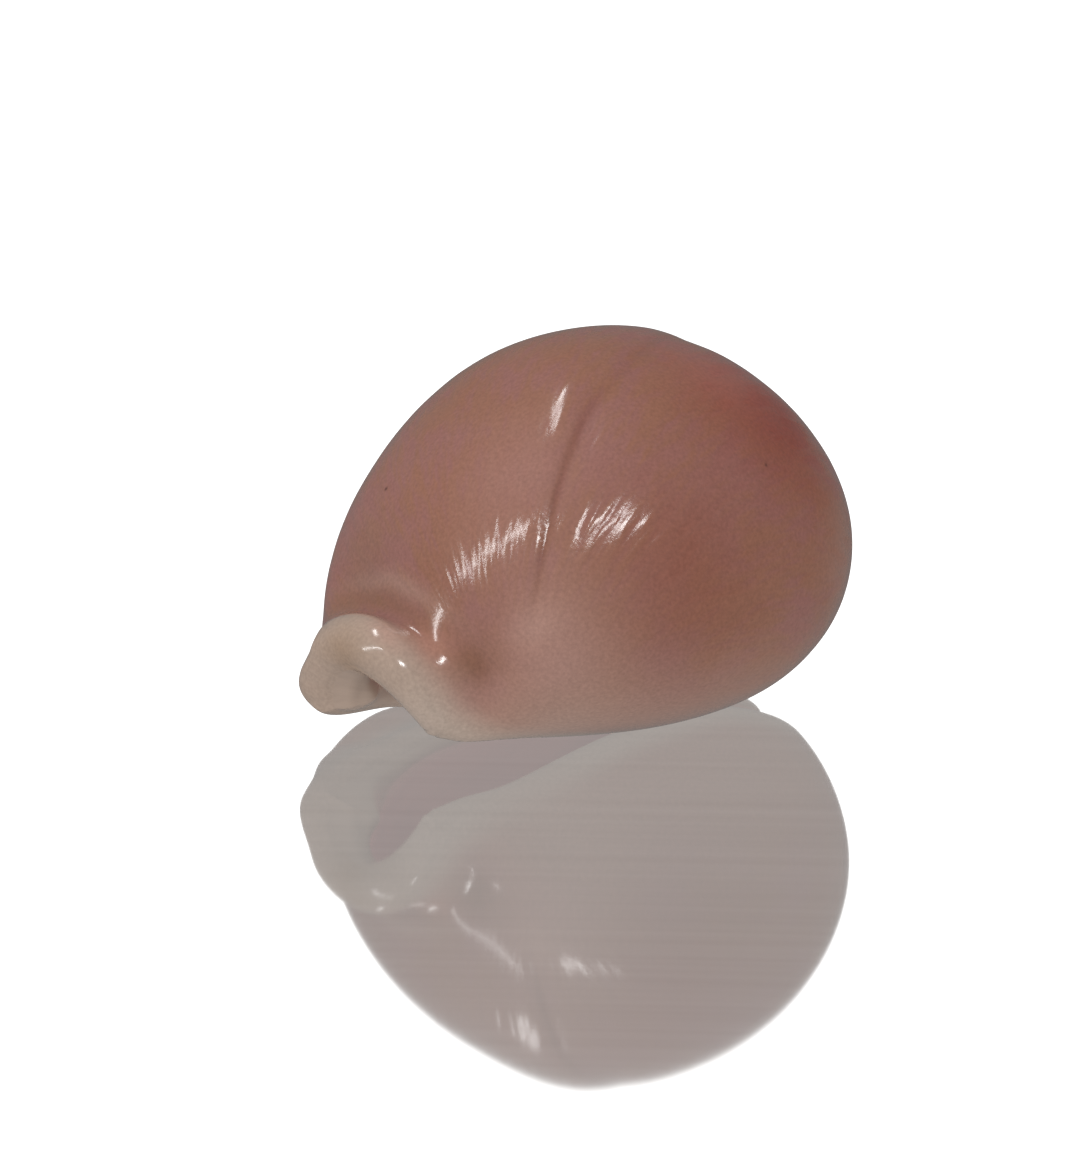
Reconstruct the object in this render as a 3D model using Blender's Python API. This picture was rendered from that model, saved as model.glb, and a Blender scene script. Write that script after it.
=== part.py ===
"""A small, glossy, nearly round cowrie shell standing on the lips of its aperture.

Metres, +Z up, resting on z = 0. The front end, with the notch and its rolled
collar, points to -X, the back end to +X. The columellar side faces -Y and the
outer lip (labral side) faces +Y. The lengths below are millimetres along the
shell (positive forwards), across it (positive to the columellar side) and up.

The shell is one body: a middle surface, wrapped from the edge of the labral
lip over the back to the edge of the columellar lip and lofted along the shell,
with an outer and an inner skin set off from it that meet in rounded rims.
"""

import bmesh
import bpy
import numpy as np

for old in list(bpy.data.objects):
    bpy.data.objects.remove(old, do_unlink=True)

# ---------------------------------------------------------------- measures
ALONG = 46  # rows of points from the front rim to the back rim
AROUND = 54  # points in a row, from one lip over the back to the other

RIM_RADIUS = 1.0  # how far the rounded rims reach in from each edge, mm
COLUMELLA = 1.7  # extra thickness inside the columellar side, mm
SCAR_DEPTH = 0.06  # the growth scar across the back, mm
SCAR_RIDGE = 0.16  # the swelling in front of it, mm
PIT_DEPTH = 0.30  # the hollow behind the collar on the columellar side, mm
NECK_FULL = 0.27  # how much fuller the neck is behind the collar on the labral side, mm
COLLAR_DENT = 0.24  # the flat on the top of the collar on that side, mm
LABRAL_FOOT = 1.5  # how far the labral flank swells out low down behind the collar, mm
LOBE = 0.12  # the swelling at the foot of the collar there, mm
CANAL_FILL = 1.3  # how far the labral side narrows the canal behind the notch, mm
CANAL_ROOF = 0.25  # how much thicker the roof of that canal is, mm
LIP_ROLL = 0.90  # the roll along the inside of the labral lip behind it, mm
MAUVE = (0.47, 0.27, 0.24)  # the colour of the back

# Where along the loft each station lies: 0 is the front rim, 1 the back rim.
STATION = np.array([0, 0.06, 0.12, 0.18, 0.26, 0.36, 0.47, 0.58, 0.69, 0.79, 0.87, 0.94, 1])
# position along the shell of the crown, the labral lip and the columellar lip
CROWN_AT = [11.4, 11.0, 10.3, 9.5, 8.3, 6.3, 3.6, 0.8, -3.1, -6.2, -8.2, -9.1, -9.0]
LABRAL_AT = [10.9, 10.6, 9.9, 8.9, 7.4, 5.6, 3.3, 0.3, -3.0, -5.7, -7.3, -8.3, -8.6]
COLUMELLAR_AT = [9.4, 9.1, 8.6, 8.0, 6.9, 5.3, 2.9, 0.1, -2.9, -5.2, -6.9, -7.9, -8.4]
# heights of the crown, of the widest line and of the two lips
CROWN = [3.7, 4.3, 4.8, 5.5, 8.2, 11.2, 13.07, 13.93, 13.45, 11.6, 9.1, 6.1, 3.4]
WIDEST = [1.7, 2.1, 2.8, 3.6, 4.7, 5.6, 6.0, 6.2, 6.2, 6.0, 5.4, 4.2, 2.4]
LABRAL = [1.7, 1.5, 1.35, 1.22, 1.03, 0.62, 0.36, 0.34, 0.45, 0.9, 1.45, 1.95, 2.25]
COLUMELLAR = [1.65, 1.5, 1.45, 1.45, 1.35, 1.04, 0.58, 0.3, 0.36, 0.85, 1.55, 2.05, 2.3]
# half widths to the two sides, and how far each lip edge is from the middle
LABRAL_WIDE = [1.95, 2.4, 3.1, 4.1, 5.3, 6.6, 7.6, 7.7, 7.2, 6.0, 4.4, 2.5, 1.0]
COLUMELLAR_WIDE = [1.75, 2.0, 2.5, 3.5, 5.1, 6.6, 7.8, 8.35, 8.0, 6.7, 4.8, 2.6, 0.9]
LABRAL_GAP = [1.95, 2.1, 2.25, 2.5, 2.7, 2.6, 2.2, 1.25, 0.55, 0.3, 0.4, 0.6, 0.8]
COLUMELLAR_GAP = [1.7, 1.8, 1.85, 1.9, 2.1, 2.2, 2.1, 1.9, 1.6, 1.4, 1.2, 1.0, 0.9]
# thickness outside the middle surface over the back and along the lips, and inside it
OUTSIDE = [1.2, 1.2, 1.0, 0.35, 0.55, 0.45, 0.45, 0.45, 0.45, 0.45, 0.45, 0.4, 0.3]
LIP = [1.1, 1.05, 1.0, 0.9, 0.75, 0.6, 0.5, 0.5, 0.5, 0.5, 0.5, 0.4, 0.3]
INSIDE = [0.35, 0.4, 0.5, 0.6, 0.6, 0.6, 0.6, 0.6, 0.6, 0.6, 0.6, 0.5, 0.3]


def spline(values, u):
    """A natural cubic spline through the stations."""
    x, y = STATION, np.asarray(values, float)
    n, h = len(x), np.diff(x)
    system, right = np.eye(n), np.zeros(n)
    for i in range(1, n - 1):
        system[i, i - 1 : i + 2] = h[i - 1], 2 * (h[i - 1] + h[i]), h[i]
        right[i] = 6 * ((y[i + 1] - y[i]) / h[i] - (y[i] - y[i - 1]) / h[i - 1])
    m = np.linalg.solve(system, right)
    k = np.clip(np.searchsorted(x, u, side="right") - 1, 0, n - 2)
    t, hk = u - x[k], h[k]
    slope = (y[k + 1] - y[k]) / hk - hk * (2 * m[k] + m[k + 1]) / 6
    return y[k] + t * slope + t * t * m[k] / 2 + t**3 * (m[k + 1] - m[k]) / (6 * hk)


def crowded(n, amount):
    """n steps from 0 to 1, closer together towards both ends."""
    s = np.linspace(0, 1, n)
    return s - amount * np.sin(2 * np.pi * s) / (2 * np.pi)


def middle_surface(u, v):
    """Points of the middle surface; v runs from -1 (labral lip) to 1 (columellar lip)."""
    inner = v > 0
    width = np.where(inner, spline(COLUMELLAR_WIDE, u), spline(LABRAL_WIDE, u))
    gap = np.where(inner, spline(COLUMELLAR_GAP, u), spline(LABRAL_GAP, u))
    lip = np.where(inner, spline(COLUMELLAR, u), spline(LABRAL, u))
    lip_at = np.where(inner, spline(COLUMELLAR_AT, u), spline(LABRAL_AT, u))
    crown, crown_at, widest = spline(CROWN, u), spline(CROWN_AT, u), spline(WIDEST, u)
    full = np.pi - np.arcsin(np.clip(gap / width, 0, 0.985))
    turn = full * v
    c, s = np.cos(turn), np.sin(turn)
    along = crown_at + (lip_at - crown_at) * (1 - c) / (1 - np.cos(full))
    low = c / np.cos(full)
    up = np.where(c > 0, widest + (crown - widest) * c, widest + (lip - widest) * low)
    return np.stack([along, width * s, up], -1)


def surface_normals(u, v):
    """Outward normals, taken a little way in from the rims so that they turn smoothly there."""
    h = 0.004
    u = u + 0.05 * np.exp(-u / 0.05) - 0.03 * np.exp((u - 1) / 0.03)
    v = v - np.sign(v) * 0.08 * np.exp((np.abs(v) - 1) / 0.08)
    along = middle_surface(u + h, v) - middle_surface(u - h, v)
    around = middle_surface(u, v + h) - middle_surface(u, v - h)
    n = np.cross(around, along)
    return n / np.linalg.norm(n, axis=-1, keepdims=True)


def from_rim(points):
    """Straight distance of each point from the nearest point of the surface's own edge."""
    edge = np.concatenate([points[0], points[-1], points[:, 0], points[:, -1]])
    flat = points.reshape(-1, 3)
    nearest = np.empty(len(flat))
    for first in range(0, len(flat), 2000):
        block = flat[first : first + 2000]
        square = (block**2).sum(1)[:, None] + (edge**2).sum(1)[None] - 2 * block @ edge.T
        nearest[first : first + 2000] = np.sqrt(np.maximum(square.min(1), 0))
    return nearest.reshape(points.shape[:2])


def bell(x, centre, spread):
    return np.exp(-(((x - centre) / spread) ** 2))


def step(x, low, high):
    t = np.clip((x - low) / (high - low), 0, 1)
    return t * t * (3 - 2 * t)


def scar_line(u):
    """Where the growth scar crosses row u, as a value of v."""
    near_lip = 0.226 * np.exp(-(u - 0.285) / 0.09)
    return near_lip + 0.55 * (0.70 - u) + 0.03 * bell(u, 0.58, 0.08)


def relief(u, v):
    """How far the outer skin swells (or sinks) beyond its plain thickness, mm."""
    off = v - scar_line(u)
    reach = step(u, 0.25, 0.32) * (1 - 0.4 * step(u, 0.48, 0.62)) * (1 - step(u, 0.70, 0.84))
    ridge_at = -0.03 - 0.035 * step(u, 0.34, 0.50)
    shoulder = bell(off, ridge_at, np.where(off < ridge_at, 0.15, -0.75 * ridge_at))
    groove = bell(off, 0.0, np.where(off < 0, 0.014, 0.045))
    scar = SCAR_RIDGE * ridge_at / -0.065 * shoulder - SCAR_DEPTH * groove
    pit = bell(u, 0.198, 0.03) * bell(v, 0.5, 0.16)
    neck = bell(u, 0.215, 0.05) * bell(v, -0.62, 0.25)
    dent = bell(u, 0.095, 0.03) * bell(v, -0.475, 0.09)
    lobe = bell(u, 0.07, 0.04) * bell(v, -0.7, 0.08)
    front = NECK_FULL * neck - PIT_DEPTH * pit - COLLAR_DENT * dent + LOBE * lobe
    foot = bell(v, -0.795, 0.088) * step(u, 0.03, 0.40) * (1 - step(u, 0.40, 0.63))
    return reach * scar + front + LABRAL_FOOT * foot


def skins(along, around):
    """Outer and inner skin, each (along, around, 3), sharing their edge points."""
    rows, turns = np.meshgrid(crowded(along, 0.8), 2 * crowded(around, 0.8) - 1, indexing="ij")
    fine = middle_surface(rows, turns)
    normal = surface_normals(rows, turns)
    rounded = np.sqrt(1 - (1 - np.clip(from_rim(fine) / RIM_RADIUS, 0, 1)) ** 2)
    along_lip = step(np.abs(turns), 0.55, 0.9)
    outside = spline(OUTSIDE, rows) * (1 - along_lip) + spline(LIP, rows) * along_lip
    outside += relief(rows, turns)
    inside = spline(INSIDE, rows) + COLUMELLA * bell(turns, 0.68, 0.17) * step(
        rows, 0.12, 0.4
    ) * (1 - step(rows, 0.72, 0.95))
    front = 1 - step(rows, 0.06, 0.22)
    inside += CANAL_ROOF * front * bell(turns, 0.2, 0.4)
    outer = fine + normal * (outside * rounded)[..., None]
    inner = fine - normal * (inside * rounded)[..., None]
    canal = CANAL_FILL * front * step(turns, 0.45, -0.6)
    roll = LIP_ROLL * bell(turns, -0.74, 0.2) * step(rows, 0.04, 0.12) * (1 - step(rows, 0.22, 0.34))
    inner[..., 1] += (canal + roll) * rounded
    outer[..., 2] = np.maximum(outer[..., 2], 0)  # the lips are worn flat where they stand
    return rows, turns, outer, inner


def add_skin(bm, points):
    """A grid of faces through points given in metres."""
    verts = [[bm.verts.new(point) for point in row] for row in points.tolist()]
    for near, far in zip(verts, verts[1:]):
        for a, b, c, d in zip(near, far, far[1:], near[1:]):
            bm.faces.new((a, b, c, d))


def shell_object(name, outer, inner):
    """The two skins sewn along their rims into one closed body over the origin."""
    low, high = outer.min(axis=(0, 1)), outer.max(axis=(0, 1))
    centre = np.array([(low[0] + high[0]) / 2, (low[1] + high[1]) / 2, low[2]])
    bm = bmesh.new()
    for skin in (outer, inner):
        add_skin(bm, (skin - centre) * [-0.001, -0.001, 0.001])
    bmesh.ops.remove_doubles(bm, verts=bm.verts, dist=1e-7)
    bmesh.ops.recalc_face_normals(bm, faces=bm.faces)
    for face in bm.faces:
        face.smooth = True
    mesh = bpy.data.meshes.new(name)
    bm.to_mesh(mesh)
    bm.free()
    shell = bpy.data.objects.new(name, mesh)
    bpy.context.scene.collection.objects.link(shell)
    return shell


def glossy(name, colour, roughness):
    material = bpy.data.materials.new(name)
    material.use_nodes = True
    shader = material.node_tree.nodes["Principled BSDF"]
    shader.inputs["Base Color"].default_value = (*colour, 1.0)
    shader.inputs["Roughness"].default_value = roughness
    shader.inputs["Metallic"].default_value = 0.0
    material.diffuse_color = (*colour, 1.0)
    return material


rows, turns, outer, inner = skins(ALONG, AROUND)
shell = shell_object("shell", outer, inner)
shell.data.materials.append(glossy("glossy_shell", MAUVE, 0.25))
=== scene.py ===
# %% [markdown]
# # A small glossy cowrie shell
#
# A living cowrie folds its soft mantle over the outside of its shell and glazes it, coat
# after coat. So the real thing is a single piece with no joins: a hollow ball of porcelain,
# mauve-brown over the back, with cream lips that curl in under it and roll forward into
# a thick collar at the front end.
#
# This lesson sets up the camera, the light and the ground, then builds the form of the
# shell with everything that can be felt on it, and then lays on the glaze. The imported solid
# is loaded first. It is the fixed frame, in metres with +Z up, and nothing below moves it.
# Lengths are in metres too, except for the form of the shell, which is worked out in
# millimetres.

from math import cos, pi, radians, sin

import bmesh
import bpy
import numpy as np
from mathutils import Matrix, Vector


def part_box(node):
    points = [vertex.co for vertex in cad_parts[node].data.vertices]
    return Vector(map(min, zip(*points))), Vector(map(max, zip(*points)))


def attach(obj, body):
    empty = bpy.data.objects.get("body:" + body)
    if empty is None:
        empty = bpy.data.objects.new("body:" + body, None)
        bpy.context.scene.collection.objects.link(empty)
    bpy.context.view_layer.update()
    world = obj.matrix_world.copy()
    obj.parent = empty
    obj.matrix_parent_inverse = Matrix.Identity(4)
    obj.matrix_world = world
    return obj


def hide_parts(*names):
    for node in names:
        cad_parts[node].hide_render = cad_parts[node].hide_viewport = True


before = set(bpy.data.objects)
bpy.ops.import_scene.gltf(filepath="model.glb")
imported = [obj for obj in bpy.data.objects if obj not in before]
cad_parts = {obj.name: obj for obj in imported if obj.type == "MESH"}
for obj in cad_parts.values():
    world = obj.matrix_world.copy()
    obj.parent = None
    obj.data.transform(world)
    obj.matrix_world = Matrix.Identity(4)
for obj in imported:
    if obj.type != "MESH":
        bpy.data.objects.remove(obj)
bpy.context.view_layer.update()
low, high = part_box("shell")
middle = (low + high) / 2
print("solid shell, mm:", [round(side * 1000, 2) for side in high - low])

# %% [markdown]
# ## The camera
#
# Small shells are taken with a long lens from not far above the table. The camera stands
# off the front end, to the columellar side. A direction is given by its azimuth (0 looks
# along +Y) and its elevation, and the same small function will place the lights. The long
# lens keeps parallel edges nearly parallel, as they are in a close-up of something so small.

# %% Camera
VIEW = (-39.0, 17.2)  # azimuth and elevation
LENS, SENSOR = 300.0, 36.0  # mm
VIEW_HEIGHT = 0.04303  # how much the camera sees at the shell, from top to bottom
SHELL_RIGHT, SHELL_UP = 0.00148, 0.00191  # the shell's middle, from the middle of the view
NEAREST, FARTHEST = 0.01, 20.0  # the camera sees what lies between these distances


def towards(azimuth, elevation):
    """Unit vector from the shell to something seen at these angles, in degrees."""
    a, e = radians(azimuth), radians(elevation)
    return Vector((sin(a) * cos(e), -cos(a) * cos(e), sin(e)))


def looking_back(obj, direction):
    """Turns a camera or a light so that it looks from out there at the shell."""
    obj.rotation_euler = direction.to_track_quat("Z", "Y").to_euler()


back = towards(*VIEW)
right = Vector((0, 0, 1)).cross(back).normalized()
up = back.cross(right)

lens = bpy.data.cameras.new("camera")
lens.lens, lens.sensor_width = LENS, SENSOR
lens.clip_start, lens.clip_end = NEAREST, FARTHEST
camera = bpy.data.objects.new("camera", lens)
bpy.context.scene.collection.objects.link(camera)
distance = VIEW_HEIGHT * LENS / SENSOR
camera.location = middle - right * SHELL_RIGHT - up * SHELL_UP + back * distance
looking_back(camera, back)
bpy.context.scene.camera = camera
print("camera distance, mm:", round(distance * 1000, 1))

# %% [markdown]
# ## The light
#
# The shell sits in a white surround that lights it evenly from every side, the way a light
# tent does. A glaze also mirrors what is round it, and a bright tent would lay a white veil
# over the colour, so reflections see a dimmer surround than the one that lights the shell.
# The Light Path node tells the two kinds of ray apart. View transform "Standard" keeps
# colours as they are mixed.

# %% White surround
SURROUND = 0.83  # how brightly it lights
MIRRORED = 0.17  # how bright it looks in the glaze
WHITE = (1.0, 1.0, 1.0, 1.0)


def add(tree, kind, inputs=None, **settings):
    """A new node of this kind with its settings, and with values or links on its inputs."""
    node = tree.nodes.new(kind)
    for key, value in settings.items():
        setattr(node, key, value)
    for key, value in (inputs or {}).items():
        if isinstance(value, bpy.types.NodeSocket):
            tree.links.new(value, node.inputs[key])
        else:
            node.inputs[key].default_value = value
    return node


def remap(tree, value, low, high, start, end):
    """Turns a value that runs from low to high into one that runs from start to end."""
    ramp = add(tree, "ShaderNodeMapRange", {0: value, 1: low, 2: high, 3: start, 4: end})
    return ramp.outputs[0]


def dimmer_in_glaze(tree, plain, mirrored):
    """A brightness for most rays, and another for the rays that a glaze throws back."""
    rays = tree.nodes.new("ShaderNodeLightPath")
    return remap(tree, rays.outputs["Is Glossy Ray"], 0.0, 1.0, plain, mirrored)


world = bpy.data.worlds.new("light_tent")
world.use_nodes = True
tent = world.node_tree
background = tent.nodes["Background"]
background.inputs["Color"].default_value = WHITE
tent.links.new(dimmer_in_glaze(tent, SURROUND, MIRRORED), background.inputs["Strength"])
bpy.context.scene.world = world
bpy.context.scene.view_settings.view_transform = "Standard"
print("surround:", SURROUND, "and in the glaze:", MIRRORED)

# %% [markdown]
# Three softboxes put the highlights on the glaze: a small one, high up to the right of the
# camera, a long narrow one that leans, round to the front end of the shell, and one above
# and a little behind. A softbox is an area light, and its power follows from how bright its
# face has to look, because a highlight is that face seen in the glaze.

# %% Softboxes
SOFTBOX_AWAY = 0.5  # how far the three stand from the shell


def softbox(name, angles, away, size, brightness, lean=0.0):
    """A rectangular light whose face has this brightness, aimed at the shell."""
    light = bpy.data.lights.new(name, "AREA")
    light.shape = "RECTANGLE"
    light.size, light.size_y = size
    light.energy = brightness * pi * size[0] * size[1]
    box = bpy.data.objects.new(name, light)
    bpy.context.scene.collection.objects.link(box)
    direction = towards(*angles)
    box.location = middle + direction * away
    looking_back(box, direction)
    box.rotation_euler.rotate_axis("Z", radians(lean))
    print(name, "power, W:", round(light.energy, 2))
    return box


# azimuth and elevation, distance, width and height, brightness, lean in degrees
softbox("softbox_right", (-27, 42), SOFTBOX_AWAY, (0.08, 0.05), 24.0)
softbox("strip_front", (-100, 29), SOFTBOX_AWAY, (0.028, 0.50), 15.0, lean=-33)
softbox("strip_above", (-160, 71.5), SOFTBOX_AWAY, (0.15, 0.04), 13.0, lean=20)

# %% [markdown]
# ## The ground
#
# A sheet of milky acrylic, polished, under a wide white ceiling. Light comes up through it,
# so it glows a little, and its face is part mirror: where it mirrors the ceiling it is
# white, and where it mirrors the shell, the underside can be seen in it. For the glaze of
# the shell it is a plain dim sheet, which gives light from below but no white veil.
#
# A cloth has left faint streaks on it, all drawn one way. They are a noise, stretched along
# the streaks and squeezed across them, which makes the glow a little lighter and darker.

# %% Material: polished sheet
GLOW = (0.255, 0.245, 0.238, 1.0)
MIRROR = 0.34  # share of the light that its face mirrors
POLISH = 0.05  # roughness
FROM_BELOW, MIRRORED_BELOW = 0.90, 0.17  # brightness that lights the shell, and in its glaze
WIPED = 0.09  # how far the streaks are lighter and darker
STREAK_ANGLE = -42.5  # degrees from X
STREAK_LENGTH, STREAK_WIDTH = 0.03, 0.0008
STREAK_DETAIL = 4.0


def wiped_glow(tree):
    """Strength of the glow, with its streaks."""
    where = tree.nodes.new("ShaderNodeTexCoord")
    drawn_out = add(
        tree,
        "ShaderNodeMapping",
        {
            "Vector": where.outputs["Object"],
            "Rotation": (0.0, 0.0, radians(STREAK_ANGLE)),
            "Scale": (STREAK_LENGTH, STREAK_WIDTH, 1.0),
        },
        vector_type="TEXTURE",
    )
    streaks = add(
        tree,
        "ShaderNodeTexNoise",
        {"Vector": drawn_out.outputs[0], "Scale": 1.0, "Detail": STREAK_DETAIL},
    )
    return remap(tree, streaks.outputs["Fac"], 0.0, 1.0, 1.0 - WIPED, 1.0 + WIPED)


def polished_sheet():
    """The camera sees glow and mirror; the shell gets an even light."""
    material = bpy.data.materials.new("polished_milky_acrylic")
    material.use_nodes = True
    material.cycles.emission_sampling = "NONE"
    tree = material.node_tree
    tree.nodes.remove(tree.nodes["Principled BSDF"])
    from_below = dimmer_in_glaze(tree, FROM_BELOW, MIRRORED_BELOW)
    even = add(tree, "ShaderNodeEmission", {"Strength": from_below})
    glow = add(tree, "ShaderNodeEmission", {"Color": GLOW, "Strength": wiped_glow(tree)})
    mirrored = (MIRROR, MIRROR, MIRROR, 1.0)
    mirror = add(tree, "ShaderNodeBsdfGlossy", {"Color": mirrored, "Roughness": POLISH})
    face = add(tree, "ShaderNodeAddShader", {0: glow.outputs[0], 1: mirror.outputs[0]})
    rays = tree.nodes.new("ShaderNodeLightPath")
    seen = add(
        tree,
        "ShaderNodeMixShader",
        {0: rays.outputs["Is Camera Ray"], 1: even.outputs[0], 2: face.outputs[0]},
    )
    tree.links.new(seen.outputs[0], tree.nodes["Material Output"].inputs["Surface"])
    return material


ground_glaze = polished_sheet()
print("sheet:", ground_glaze.name, "mirrors", MIRROR)

# %% [markdown]
# The sheet itself is one large face, just under the lips. The ceiling is linked to it
# alone, so that it whitens the sheet and adds nothing to the glaze.

# %% Sheet and ceiling
GROUND_SIDE = 6.0
UNDER_LIPS = 0.00002  # keeps the sheet and the lips from lying in one plane
CEILING = 3.2  # brightness
CEILING_UP, CEILING_SIDE = 2.0, 40.0

bm = bmesh.new()
bmesh.ops.create_grid(bm, x_segments=1, y_segments=1, size=GROUND_SIDE / 2)
sheet = bpy.data.meshes.new("ground")
bm.to_mesh(sheet)
bm.free()
sheet.materials.append(ground_glaze)
ground = bpy.data.objects.new("ground", sheet)
ground.location.z = low.z - UNDER_LIPS
bpy.context.scene.collection.objects.link(ground)

ceiling = softbox("white_ceiling", (0, 90), CEILING_UP, (CEILING_SIDE, CEILING_SIDE), CEILING)
under_ceiling = bpy.data.collections.new("under_ceiling")
under_ceiling.objects.link(ground)
ceiling.light_linking.receiver_collection = under_ceiling

# %% [markdown]
# ## The form of the shell
#
# A cowrie is a wall wrapped round a hollow, from the edge of one lip, over the back, to
# the edge of the other. That is a loft: at each station along the shell stand the height
# of the crown, of the widest line and of the two lips, and how wide it is to either side.
# A spline runs through each row of values, so thirteen stations give a smooth shell.
#
# The values are the ones that the solid was built from, in millimetres: forwards along the
# shell, across it towards the columellar side, and up. The first list says how far along
# the loft each station lies, where 0 is the front rim and 1 the back rim.

# %% Measures
RIM_RADIUS = 1.0  # how far the rounded rims reach in from each edge
COLUMELLA = 1.7  # extra thickness inside the columellar side
SCAR_DEPTH = 0.06  # the growth scar across the back
SCAR_RIDGE = 0.16  # the swelling in front of it
PIT_DEPTH = 0.30  # the hollow behind the collar on the columellar side
NECK_FULL = 0.27  # how much fuller the neck is behind the collar on the labral side
COLLAR_DENT = 0.24  # the flat on the top of the collar on that side
LABRAL_FOOT = 1.5  # how far the labral flank swells out low down behind the collar
LOBE = 0.12  # the swelling at the foot of the collar there
CANAL_FILL = 1.3  # how far the labral side narrows the canal behind the notch
CANAL_ROOF = 0.25  # how much thicker the roof of that canal is
LIP_ROLL = 0.90  # the roll along the inside of the labral lip behind it
SOLID_STEPS = (46, 54)  # points along and around on the solid, whose box sets the middle
SOLID_CROWDING = 0.8  # and how far they crowd towards the rims

STATION = np.array([0, 0.06, 0.12, 0.18, 0.26, 0.36, 0.47, 0.58, 0.69, 0.79, 0.87, 0.94, 1])
# position along the shell of the crown, the labral lip and the columellar lip
CROWN_AT = [11.4, 11.0, 10.3, 9.5, 8.3, 6.3, 3.6, 0.8, -3.1, -6.2, -8.2, -9.1, -9.0]
LABRAL_AT = [10.9, 10.6, 9.9, 8.9, 7.4, 5.6, 3.3, 0.3, -3.0, -5.7, -7.3, -8.3, -8.6]
COLUMELLAR_AT = [9.4, 9.1, 8.6, 8.0, 6.9, 5.3, 2.9, 0.1, -2.9, -5.2, -6.9, -7.9, -8.4]
# heights of the crown, of the widest line and of the two lips
CROWN = [3.7, 4.3, 4.8, 5.5, 8.2, 11.2, 13.07, 13.93, 13.45, 11.6, 9.1, 6.1, 3.4]
WIDEST = [1.7, 2.1, 2.8, 3.6, 4.7, 5.6, 6.0, 6.2, 6.2, 6.0, 5.4, 4.2, 2.4]
LABRAL = [1.7, 1.5, 1.35, 1.22, 1.03, 0.62, 0.36, 0.34, 0.45, 0.9, 1.45, 1.95, 2.25]
COLUMELLAR = [1.65, 1.5, 1.45, 1.45, 1.35, 1.04, 0.58, 0.3, 0.36, 0.85, 1.55, 2.05, 2.3]
# half widths to the two sides, and how far each lip edge is from the middle
LABRAL_WIDE = [1.95, 2.4, 3.1, 4.1, 5.3, 6.6, 7.6, 7.7, 7.2, 6.0, 4.4, 2.5, 1.0]
COLUMELLAR_WIDE = [1.75, 2.0, 2.5, 3.5, 5.1, 6.6, 7.8, 8.35, 8.0, 6.7, 4.8, 2.6, 0.9]
LABRAL_GAP = [1.95, 2.1, 2.25, 2.5, 2.7, 2.6, 2.2, 1.25, 0.55, 0.3, 0.4, 0.6, 0.8]
COLUMELLAR_GAP = [1.7, 1.8, 1.85, 1.9, 2.1, 2.2, 2.1, 1.9, 1.6, 1.4, 1.2, 1.0, 0.9]
# thickness outside the middle surface over the back and along the lips, and inside it
OUTSIDE = [1.2, 1.2, 1.0, 0.35, 0.55, 0.45, 0.45, 0.45, 0.45, 0.45, 0.45, 0.4, 0.3]
LIP = [1.1, 1.05, 1.0, 0.9, 0.75, 0.6, 0.5, 0.5, 0.5, 0.5, 0.5, 0.4, 0.3]
INSIDE = [0.35, 0.4, 0.5, 0.6, 0.6, 0.6, 0.6, 0.6, 0.6, 0.6, 0.6, 0.5, 0.3]
print("stations:", len(STATION), "highest, mm:", max(CROWN))

# %% [markdown]
# Three small curves do the rest of the shaping. A natural cubic spline joins the stations
# without a kink, a bell raises or sinks one spot, and a step lets something begin or end
# softly. Points crowd towards the rims, where the wall turns most sharply.


# %% Smooth curves through the stations
def spline(values, u):
    """A natural cubic spline through the stations."""
    x, y = STATION, np.asarray(values, float)
    n, h = len(x), np.diff(x)
    system, right_side = np.eye(n), np.zeros(n)
    for i in range(1, n - 1):
        system[i, i - 1 : i + 2] = h[i - 1], 2 * (h[i - 1] + h[i]), h[i]
        right_side[i] = 6 * ((y[i + 1] - y[i]) / h[i] - (y[i] - y[i - 1]) / h[i - 1])
    m = np.linalg.solve(system, right_side)
    k = np.clip(np.searchsorted(x, u, side="right") - 1, 0, n - 2)
    t, hk = u - x[k], h[k]
    slope = (y[k + 1] - y[k]) / hk - hk * (2 * m[k] + m[k + 1]) / 6
    return y[k] + t * slope + t * t * m[k] / 2 + t**3 * (m[k + 1] - m[k]) / (6 * hk)


def crowded(n, amount):
    """n steps from 0 to 1, closer together towards both ends."""
    s = np.linspace(0, 1, n)
    return s - amount * np.sin(2 * np.pi * s) / (2 * np.pi)


def bell(x, centre, spread):
    """1 at the centre, falling off evenly to both sides."""
    return np.exp(-(((x - centre) / spread) ** 2))


def step(x, start, end):
    """0 up to start, 1 from end on, and a soft rise between."""
    t = np.clip((x - start) / (end - start), 0, 1)
    return t * t * (3 - 2 * t)


def between(x, begins, ends):
    """1 between two soft steps, each given by its start and end."""
    return step(x, *begins) * (1 - step(x, *ends))


print("crown halfway along, mm:", spline(CROWN, np.array([0.5])).round(2))

# %% [markdown]
# A point of the wall is named by two numbers: u runs from the front rim (0) to the back
# rim (1), and v from the labral lip (-1) over the crown (0) to the columellar lip (1).
# Every feature further down is placed with them. The wall is set off from its middle surface
# along the normals. Close to a rim these would swing round too fast, so each is taken a
# little further in.

# %% The middle of the wall
WIDEST_GAP = 0.985  # of the half width: the lips never reach the widest line
NORMAL_STEP = 0.004  # how far to either side the slope is taken
FROM_FRONT, FROM_BACK, FROM_LIP = 0.05, 0.03, 0.08  # how far in from each rim it is taken
BLOCK = 2000  # points at a time, to save memory


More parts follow.
